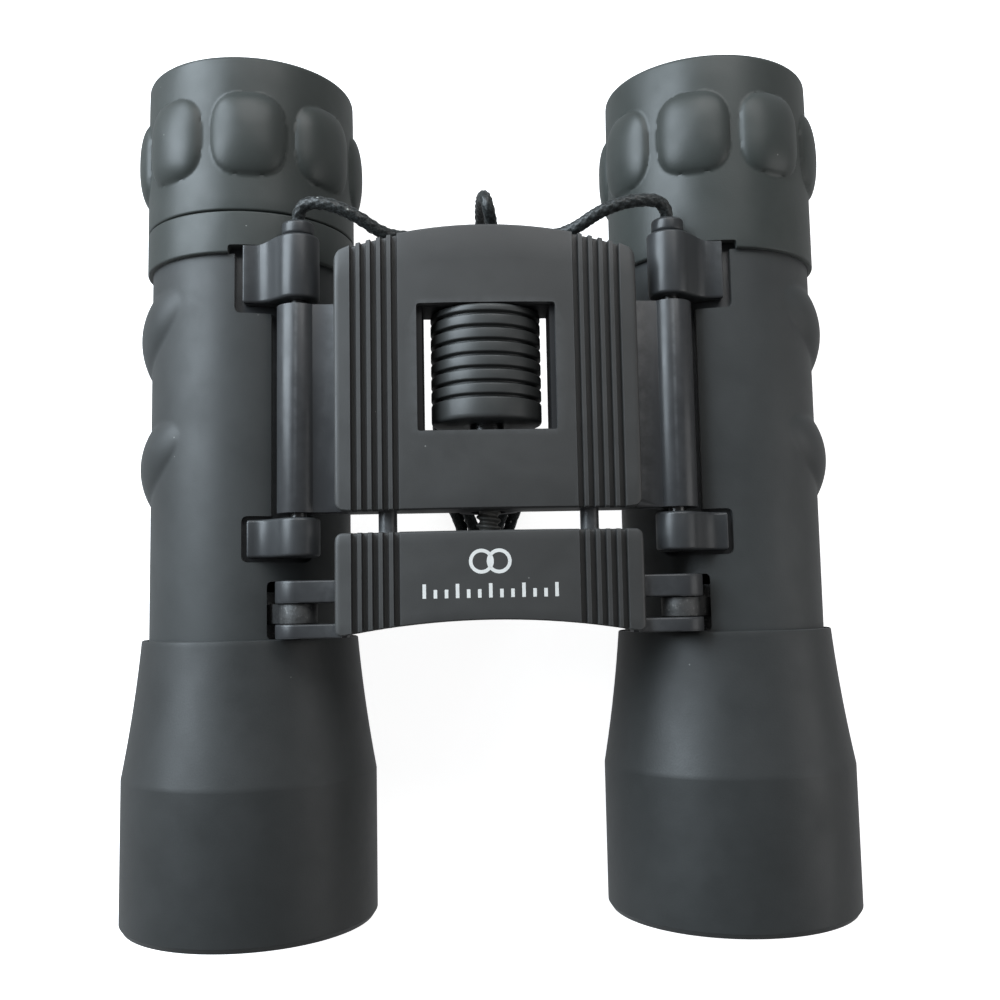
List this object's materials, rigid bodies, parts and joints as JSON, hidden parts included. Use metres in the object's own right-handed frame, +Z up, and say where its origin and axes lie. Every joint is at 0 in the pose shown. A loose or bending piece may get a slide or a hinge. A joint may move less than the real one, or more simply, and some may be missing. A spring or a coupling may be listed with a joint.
{
  "type": "compact binoculars",
  "caption": "Compact roof-prism binoculars with folding barrels, sliding objectives, ribbed focus wheel, dioptre eyepiece and a neck cord in a tied hank.",
  "frame": {"origin": "on the floor under the middle of the box, cord left out, with the binoculars lying bridge up", "axes": "+Y along the optical axes towards the eyecups, +X to the user's left barrel, +Z up through the bridge"},
  "size_m": [0.1142, 0.131, 0.0427],
  "materials": {
    "satin_black": "satin moulded black",
    "rubber_armour": "fine matt rubber skin",
    "bell_shell": "matt soft-touch black",
    "cast_metal": "rough blackened casting",
    "optical_glass": "coated optical glass",
    "inner_black": "flat black",
    "eyecup_rubber": "soft matt rubber",
    "steel_pin": "turned steel",
    "bridge_casting": "satin black",
    "bridge_cover": "fine-textured satin black",
    "steel_screw": "blackened steel",
    "wheel_grip": "satin black",
    "screw_metal": "greased thread",
    "braided_cord": "braided black cord",
    "cord_wrap": "black wire tie"
  },
  "bodies": {
    "bridge": {"rear_bridge": "bridge_casting", "rear_bridge_cover": "bridge_cover", "cover_screws": "steel_screw", "right_hinge_pin": "steel_pin", "left_hinge_pin": "steel_pin", "right_strap_ferrule": "satin_black", "left_strap_ferrule": "satin_black", "right_cord_lead": "braided_cord", "left_cord_lead": "braided_cord", "cord_hank": "braided_cord", "cord_tie": "cord_wrap"},
    "focus_wheel": {"focus_wheel_grip": "wheel_grip", "focus_nut": "steel_pin"},
    "front_bridge": {"front_bridge": "bridge_casting", "front_bridge_cover": "bridge_cover", "front_cover_screws": "steel_screw", "focus_screw": "screw_metal", "guide_rods": "satin_black", "right_link_pin": "steel_pin", "left_link_pin": "steel_pin"},
    "diopter_ring": {"right_eyecup": "eyecup_rubber"},
    "diopter_cell": {"right_ocular_cell": "inner_black", "right_field_lens": "optical_glass", "right_eye_lens": "optical_glass", "right_ocular_ring": "inner_black"},
    "right_barrel": {"right_chassis": "satin_black", "right_armour": "rubber_armour", "right_prism_holder": "inner_black", "right_half_prism": "optical_glass", "right_roof_prism": "optical_glass", "right_field_stop": "inner_black", "right_eyepiece_collar": "eyecup_rubber"},
    "right_objective": {"right_objective_carrier": "cast_metal", "right_bell": "bell_shell", "right_crown_lens": "optical_glass", "right_flint_lens": "optical_glass", "right_lens_retainer": "inner_black"},
    "left_barrel": {"left_chassis": "satin_black", "left_armour": "rubber_armour", "left_prism_holder": "inner_black", "left_half_prism": "optical_glass", "left_roof_prism": "optical_glass", "left_field_stop": "inner_black", "left_eyecup": "eyecup_rubber", "left_ocular_cell": "inner_black", "left_field_lens": "optical_glass", "left_eye_lens": "optical_glass", "left_ocular_ring": "inner_black"},
    "left_objective": {"left_objective_carrier": "cast_metal", "left_bell": "bell_shell", "left_crown_lens": "optical_glass", "left_flint_lens": "optical_glass", "left_lens_retainer": "inner_black"}
  },
  "joints": [
    {"name": "right_hinge", "type": "hinge", "parent": "bridge", "child": "right_barrel", "pos_m": [-0.0277, 0, 0.036], "axis": [0, 1, 0], "range_deg": [-55, 3]},
    {"name": "left_hinge", "type": "hinge", "parent": "bridge", "child": "left_barrel", "pos_m": [0.0277, 0, 0.036], "axis": [0, 1, 0], "range_deg": [-3, 55]},
    {"name": "focus_turn", "type": "hinge", "parent": "bridge", "child": "focus_wheel", "pos_m": [0, 0, 0.0345], "axis": [0, 1, 0], "range_deg": [-151, 331]},
    {"name": "front_bridge_slide", "type": "slide", "parent": "bridge", "child": "front_bridge", "axis": [0, 1, 0], "range_m": [-0.001, 0.0022]},
    {"name": "right_objective_slide", "type": "slide", "parent": "right_barrel", "child": "right_objective", "axis": [0, 1, 0], "range_m": [-0.00101, 0.00221]},
    {"name": "left_objective_slide", "type": "slide", "parent": "left_barrel", "child": "left_objective", "axis": [0, 1, 0], "range_m": [-0.00101, 0.00221]},
    {"name": "diopter_turn", "type": "hinge", "parent": "right_barrel", "child": "diopter_ring", "pos_m": [-0.0376, 0, 0.0195], "axis": [0, 1, 0], "range_deg": [-40, 40]},
    {"name": "diopter_slide", "type": "slide", "parent": "right_barrel", "child": "diopter_cell", "axis": [0, 1, 0], "range_m": [-0.00121, 0.00121]}
  ],
  "couplings": [
    {"joint": "focus_turn", "follows": "front_bridge_slide", "rad_per_m": 2618},
    {"joint": "right_objective_slide", "follows": "front_bridge_slide", "ratio": 1},
    {"joint": "left_objective_slide", "follows": "front_bridge_slide", "ratio": 1},
    {"joint": "diopter_slide", "follows": "diopter_turn", "m_per_rad": 0.0017189}
  ]
}
